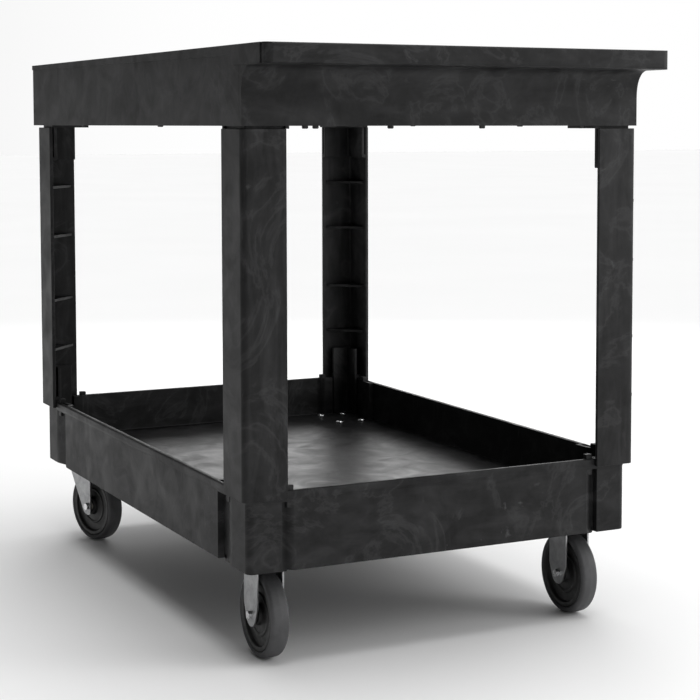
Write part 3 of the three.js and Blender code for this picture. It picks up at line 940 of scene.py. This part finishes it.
def hub_profile():
    """A dished disc: rim, recessed web with a step, and a boss."""
    bore = BUSH_RADIUS + RUNNING
    face = [
        (bore, 14.2),
        (bore + 0.6, 14.5),
        (14.6, 14.5),
        (15.6, 13.6),
        (16.4, 9.6),
        (17.8, 8.6),
        (27.5, 8.0),
        (29.0, 9.2),
        (31.4, 9.2),
        (32.8, 7.6),
        (43.6, 7.4),
        (45.4, 8.4),
        (46.8, 12.2),
        (48.2, 13.0),
        (52.6, 13.0),
        (HUB_RADIUS, 11.8),
    ]
    return face + [(radius, -y) for radius, y in reversed(face)]


def hexagon(radius, turn=0):
    return arc(0, 0, radius, turn, turn + 300, 5)


def hex_piece(radius, low, high, bore=0.0, chamfer=0.12):
    """A hexagonal head or nut along y, its corners turned off at both ends, about the origin."""
    body = prism(hexagon(radius, 30), low, high, along="y")
    slope = radius * chamfer
    turned = revolve(
        [
            (0, low - 0.01),
            (radius - slope, low - 0.01),
            (radius + 0.2, low + slope * 0.8),
            (radius + 0.2, high - slope * 0.8),
            (radius - slope, high + 0.01),
            (0, high + 0.01),
        ],
        steps=48,
    )
    boolean(body, [turned], "INTERSECT")
    if bore:
        cut(body, [rod(bore, low - 1, high + 1, steps=24)])
    return body


def upright(obj):
    """Turns a piece drawn along y so that it runs along z, with y = -z."""
    obj.data.transform(Matrix.Rotation(math.radians(-90), 4, "X"))
    return obj


def thread(radius, low, high):
    """The (radius, height) profile of a bar with rolled thread crests."""
    profile = [(0, low), (radius - 0.6, low)]
    turns = int((high - low - 1) / THREAD_PITCH)
    for turn in range(turns):
        start = low + 0.5 + turn * THREAD_PITCH
        profile += [(radius - 0.55, start), (radius, start + THREAD_PITCH / 2)]
    profile += [(radius - 0.6, high), (0, high)]
    return profile


def make_axle_bolt():
    head = hex_piece(AXLE_HEAD, -FORK_OUT - FIT - 4.5, -FORK_OUT - FIT)
    shank = rod(AXLE_RADIUS, -FORK_OUT - 1, FORK_OUT - 1, steps=32)
    end = revolve(thread(AXLE_RADIUS, FORK_OUT - 2, FORK_OUT + 9), steps=32)
    join(head, [shank, end])
    return shade(clean(head))


def make_axle_nut():
    nut = hex_piece(AXLE_HEAD, FORK_OUT + FIT, FORK_OUT + 6, bore=AXLE_RADIUS + FIT)
    collar = revolve(
        [
            (AXLE_RADIUS + FIT, FORK_OUT + 5.8),
            (5.6, FORK_OUT + 5.8),
            (5.2, FORK_OUT + 7),
            (AXLE_RADIUS + FIT, FORK_OUT + 7),
        ],
        steps=32,
    )
    join(nut, [collar])
    return shade(clean(nut))


def make_bushing():
    half, bore = FORK_GAP - RUNNING, AXLE_RADIUS + FIT
    profile = [
        (bore, -half + 0.4),
        (bore, half - 0.4),
        (bore + 0.4, half),
        (BUSH_RADIUS - 0.5, half),
        (BUSH_RADIUS, half - 0.5),
        (BUSH_RADIUS, -half + 0.5),
        (BUSH_RADIUS - 0.5, -half),
        (bore + 0.4, -half),
    ]
    return shade(revolve(profile, steps=40))


def bolt_offsets(corner):
    """The plate's bolt holes about its middle, from where the frame's bolts stand."""
    low, high = plate_box(corner)
    middle = (low + high) / 2
    offsets = []
    for index in range(1, 5):
        bolt_low, bolt_high = box_mm(f"{corner.name}_plate_bolt_{index}")
        spot = (bolt_low + bolt_high) / 2
        offsets.append((spot.x - middle.x, spot.y - middle.y))
    return offsets


def make_plate(corner):
    """The mounting plate: round corners, and slots for the bolts along the trolley."""
    low, high = plate_box(corner)
    half_x, half_y = (high.x - low.x) / 2, (high.y - low.y) / 2
    plate = prism(
        rounded_rectangle(-half_x, half_x, -half_y, half_y, PLATE_CORNER, PLATE_CORNER),
        high.z - PLATE_THICK,
        high.z,
    )
    slots = []
    for x, y in bolt_offsets(corner):
        outline = arc(x + BOLT_SLOT_REACH, y, BOLT_SLOT, -90, 90, 8)
        outline += arc(x - BOLT_SLOT_REACH, y, BOLT_SLOT, 90, 270, 8)
        slots.append(prism(outline, high.z - PLATE_THICK - 1, high.z + 1))
    rounded(plate, 0.6, segments=2)
    cut(plate, slots)
    return plate, high.z


def channel(width, top, drop, bend=6, steps=6):
    """An inverted U across y: the fork's two sides and the bend that joins them."""
    outer = [(-FORK_OUT, drop)]
    outer += arc(-FORK_OUT + bend, top - bend, bend, 180, 90, steps)
    outer += arc(FORK_OUT - bend, top - bend, bend, 90, 0, steps)
    outer += [(FORK_OUT, drop), (FORK_GAP, drop)]
    inner_bend = bend - FORK_PLATE
    outer += arc(FORK_GAP - inner_bend, top - bend, inner_bend, 0, 90, steps)
    outer += arc(-FORK_GAP + inner_bend, top - bend, inner_bend, 90, 180, steps)
    outer += [(-FORK_GAP, drop)]
    return loft([[(x, y, z) for y, z in outer] for x in (-width / 2, width / 2)])


def axle_hole(x):
    return rod(AXLE_HOLE, -FORK_OUT - 1, FORK_OUT + 1, steps=32, middle=(x, 0, WHEEL_RADIUS))


def make_rigid_fork(corner):
    plate, top = make_plate(corner)
    width, tip = 48, 17
    under = top - PLATE_THICK
    channel_top = under + 1
    fork = channel(width, channel_top, WHEEL_RADIUS - tip - 1)
    side_view = (
        [(a, WHEEL_RADIUS + b) for a, b in arc(0, 0, tip, 208, 332, 16)]
        + [(width / 2, WHEEL_RADIUS + 14), (width / 2, channel_top + 1)]
        + [(-width / 2, channel_top + 1), (-width / 2, WHEEL_RADIUS + 14)]
    )
    trim = prism(side_view, -FORK_OUT - 1, FORK_OUT + 1, along="y")
    boolean(fork, [trim], "INTERSECT")
    rounded(fork, 0.6, segments=2)
    join(fork, [plate])
    cut(fork, [axle_hole(0)])
    return shade(clean(fork))


def make_top_plate(corner):
    plate, top = make_plate(corner)
    cut(plate, [rod(RACE_BORE, top - 6, top + 1, steps=32, axis="z")])
    return shade(clean(plate))


def race_levels(corner):
    low, high = box_mm(f"{corner.name}_ball_race")
    return low.z, high.z


def make_ball_race(corner):
    """Two pressed cups with the row of balls that shows between them."""
    low, high = race_levels(corner)
    middle = (low + high) / 2
    bore, rim = RACE_BORE, 27
    upper = revolve(
        [
            (bore, high - 2.2),
            (bore, high),
            (rim - 1.2, high),
            (rim, high - 1.2),
            (rim, middle + 0.7),
            (rim - 1.6, middle + 0.7),
            (rim - 1.8, high - 2.2),
        ],
        steps=64,
        axis="z",
    )
    lower = revolve(
        [
            (bore, low),
            (rim - 3.6, low),
            (rim - 2.0, low + 1.0),
            (rim - 2.0, middle - 0.9),
            (rim - 3.4, middle - 0.9),
            (rim - 5.0, low + 2.0),
            (bore, low + 2.0),
        ],
        steps=64,
        axis="z",
    )
    bm = bmesh.new()
    for source in (upper, lower):
        bm.from_mesh(source.data)
        bpy.data.objects.remove(source)
    balls = 18
    for index in range(balls):
        angle = math.tau * index / balls
        place = Vector((math.cos(angle) * 19.5, math.sin(angle) * 19.5, middle)) * MM
        bmesh.ops.create_icosphere(
            bm, subdivisions=2, radius=2.3 * MM, matrix=Matrix.Translation(place)
        )
    return shade(new_object("race", bm))


def make_kingpin(corner):
    low, high = box_mm(f"{corner.name}_kingpin")
    top = high.z
    crown_under = race_levels(corner)[0] - RUNNING - CROWN_DEPTH - RUNNING
    shank = revolve(
        [(0, low.z), (5.4, low.z), (6, low.z + 0.6), (6, top - 0.6), (5.4, top), (0, top)],
        steps=40,
        axis="z",
    )
    head = upright(hex_piece(11, -crown_under, 6 - crown_under))
    join(shank, [head])
    return shade(clean(shank))


def make_swivel_fork(corner):
    race_low, _ = race_levels(corner)
    top = race_low - RUNNING
    crown = 31
    tip = 16
    fork = channel(2 * crown + 8, top, WHEEL_RADIUS - tip - 1, bend=7)
    rise = top - WHEEL_RADIUS
    lead = SWIVEL_LEAD
    side_view = (
        [(lead + a, WHEEL_RADIUS + b) for a, b in arc(0, 0, tip, 205, 352, 18)]
        + [(lead + 10, WHEEL_RADIUS + rise - 22), (crown, top - 7), (crown, top + 1)]
        + [(-crown, top + 1), (-crown, top - 10), (-crown + 3, top - 22)]
    )
    trim = prism(side_view, -FORK_OUT - 1, FORK_OUT + 1, along="y")
    boolean(fork, [trim], "INTERSECT")
    dish = revolve(
        [
            (0, top - CROWN_DEPTH),
            (crown - 4, top - CROWN_DEPTH),
            (crown, top - 3.4),
            (crown, top - 1),
            (crown - 2, top),
            (0, top),
        ],
        steps=64,
        axis="z",
    )
    rounded(fork, 0.6, segments=2)
    join(fork, [dish])
    bore = rod(CROWN_BORE, top - 9, top + 1, steps=40, axis="z")
    cut(fork, [axle_hole(lead), bore])
    return shade(clean(fork))


def make_plate_bolt(node):
    """A carriage bolt: low domed head on the tray floor, threaded shank below."""
    low, high = box_mm(node)
    middle = (low + high) / 2
    seat = TRAY_FLOOR + FIT
    rise = high.z - seat
    dome = [(0, high.z)]
    radius = (high.x - low.x) / 2
    for step in range(1, 9):
        angle = math.pi / 2 * step / 8
        dome.append((radius * math.sin(angle), seat + 0.7 + (rise - 0.7) * math.cos(angle)))
    dome += [(radius - 0.2, seat), (3.9, seat), (3.9, low.z + 12)]
    for turn in range(8):
        level = low.z + 12 - turn * THREAD_PITCH
        dome += [(3.9, level - 0.3), (3.35, level - 0.9)]
    dome += [(3.2, low.z), (0, low.z)]
    bolt = revolve(dome[::-1], steps=36, axis="z", middle=(middle.x, middle.y, 0))
    return shade(bolt)


def make_plate_nut(node, plate_under):
    """The flange nut under the plate, which the frame leaves out."""
    low, high = box_mm(node)
    middle = (low + high) / 2
    nut = hex_piece(7.2, -plate_under + FIT + 1.4, -plate_under + 8.2, bore=4.4)
    upright(nut)
    flange = revolve(
        [
            (4.1, plate_under - FIT),
            (8.6, plate_under - FIT),
            (8.6, plate_under - FIT - 0.9),
            (6.4, plate_under - FIT - 2.0),
            (4.1, plate_under - FIT - 2.0),
        ],
        steps=36,
        axis="z",
    )
    join(nut, [flange])
    shade(clean(nut))
    nut.data.transform(Matrix.Translation(Vector((middle.x, middle.y, 0)) * MM))
    return nut


def moved(obj, place, yaw=0.0):
    """Puts a piece drawn about a caster's axis in its place on the trolley."""
    turn = Matrix.Rotation(math.radians(yaw), 4, "Z")
    obj.data.transform(Matrix.Translation(Vector(place) * MM) @ turn)
    return obj


def caster(corner):
    low, high = plate_box(corner)
    mount = ((low.x + high.x) / 2, (low.y + high.y) / 2)
    name = corner.name
    carrier = "frame" if corner.front else f"{name}_swivel"
    yaw = 0.0 if corner.front else SWIVEL_YAW
    lead = 0.0 if corner.front else SWIVEL_LEAD
    axle = (
        mount[0] + lead * math.cos(math.radians(yaw)),
        mount[1] + lead * math.sin(math.radians(yaw)),
        WHEEL_RADIUS,
    )
    on_floor = (mount[0], mount[1], 0)

    def put(obj, kind, body, slot, look, place, turn):
        moved(obj, place, turn)
        return finished(obj, f"{name}_{kind}_piece", f"{name}_{kind}", body, slot, look)

    wheel = f"{name}_wheel"
    tyre = shade(revolve(tyre_profile(), steps=128))
    put(tyre, "tyre", wheel, "tyre_rubber", tyre_look, axle, yaw)
    hub = shade(revolve(hub_profile(), steps=128))
    put(hub, "hub", wheel, "hub_plastic", hub_look, axle, yaw)
    put(make_bushing(), "bushing", carrier, "bushing_plastic", bush_look, axle, yaw)
    put(make_axle_bolt(), "axle_bolt", carrier, "bolt_steel", bolt_look, axle, yaw)
    put(make_axle_nut(), "axle_nut", carrier, "bolt_steel", bolt_look, axle, yaw)
    if corner.front:
        fork = make_rigid_fork(corner)
        put(fork, "fork", carrier, "zinc_steel", steel_look, on_floor, 0)
    else:
        fork = make_swivel_fork(corner)
        put(fork, "fork", carrier, "zinc_steel", steel_look, on_floor, yaw)
        put(make_top_plate(corner), "top_plate", "frame", "zinc_steel", steel_look, on_floor, 0)
        put(make_ball_race(corner), "ball_race", "frame", "zinc_steel", steel_look, on_floor, 0)
        put(make_kingpin(corner), "kingpin", "frame", "bolt_steel", bolt_look, on_floor, 0)
    for index in range(1, 5):
        node = f"{name}_plate_bolt_{index}"
        bolt = make_plate_bolt(node)
        finished(bolt, f"{node}_piece", node, "frame", "bolt_steel", bolt_look)
        nut = make_plate_nut(node, high.z - PLATE_THICK)
        finished(nut, f"{name}_plate_nut_{index}", None, "frame", "bolt_steel", bolt_look)


for corner in CORNERS:
    caster(corner)

# ------------------------------------------------------------------ floor, light and camera


def make_floor():
    bm = bmesh.new()
    bmesh.ops.create_grid(bm, x_segments=1, y_segments=1, size=40)
    floor = new_object("studio_floor", bm)
    look = Look("studio_floor", 0.85, specular=0.1)
    cloud = look.noise(0.8, detail=2)
    look.colour(look.mix(cloud, (0.86, 0.86, 0.86), (0.90, 0.90, 0.90)))
    floor.data.materials.append(look.material)


def area_light(name, place, target, size, power):
    data = bpy.data.lights.new(name, "AREA")
    data.shape = "RECTANGLE"
    data.size, data.size_y = size
    data.energy = power
    light = bpy.data.objects.new(name, data)
    light.location = place
    light.visible_camera = False
    light.rotation_euler = (Vector(target) - Vector(place)).to_track_quat("-Z", "Y").to_euler()
    bpy.context.scene.collection.objects.link(light)


def overhead_light(power, spread):
    data = bpy.data.lights.new("overhead", "SUN")
    data.energy = power
    data.angle = math.radians(spread)
    light = bpy.data.objects.new("overhead", data)
    bpy.context.scene.collection.objects.link(light)


def make_world():
    """A white studio whose light falls off towards -Y."""
    world = bpy.data.worlds.new("studio")
    world.use_nodes = True
    nodes, links = world.node_tree.nodes, world.node_tree.links
    background = nodes["Background"]
    background.inputs["Strength"].default_value = 1.0
    place = nodes.new("ShaderNodeTexCoord").outputs["Generated"]
    axes = nodes.new("ShaderNodeSeparateXYZ")
    links.new(place, axes.inputs["Vector"])
    shade_of = nodes.new("ShaderNodeMapRange")
    shade_of.interpolation_type = "SMOOTHSTEP"
    shade_of.inputs["From Min"].default_value = -0.5
    shade_of.inputs["From Max"].default_value = 0.4
    shade_of.inputs["To Min"].default_value = 0.1
    shade_of.inputs["To Max"].default_value = 1.0
    links.new(axes.outputs["Y"], shade_of.inputs["Value"])
    links.new(shade_of.outputs["Result"], background.inputs["Color"])
    bpy.context.scene.world = world


CAMERA_PLACE = (2.7088, -1.2322, 0.7690)
CAMERA_AZIMUTH = 62.733
CAMERA_PITCH = 4.100
CAMERA_LENS = 90.58
CAMERA_SHIFT = (-0.0714, -0.1429)


def make_camera():
    data = bpy.data.cameras.new("camera")
    data.lens = CAMERA_LENS
    data.sensor_width = 36
    data.shift_x, data.shift_y = CAMERA_SHIFT
    camera = bpy.data.objects.new("camera", data)
    camera.location = CAMERA_PLACE
    camera.rotation_euler = (
        math.radians(90 - CAMERA_PITCH),
        0,
        math.radians(CAMERA_AZIMUTH),
    )
    bpy.context.scene.collection.objects.link(camera)
    bpy.context.scene.camera = camera


make_floor()
make_world()
area_light("key", (1.9, 2.1, 1.2), (0.4, 0.2, 0.5), (1.0, 1.6), 17)
overhead_light(1.6, 40)
area_light("rear", (-3.0, 1.6, 1.5), (0, 0, 0.2), (1.6, 1.2), 18)
make_camera()
bpy.context.scene.view_settings.view_transform = "Standard"
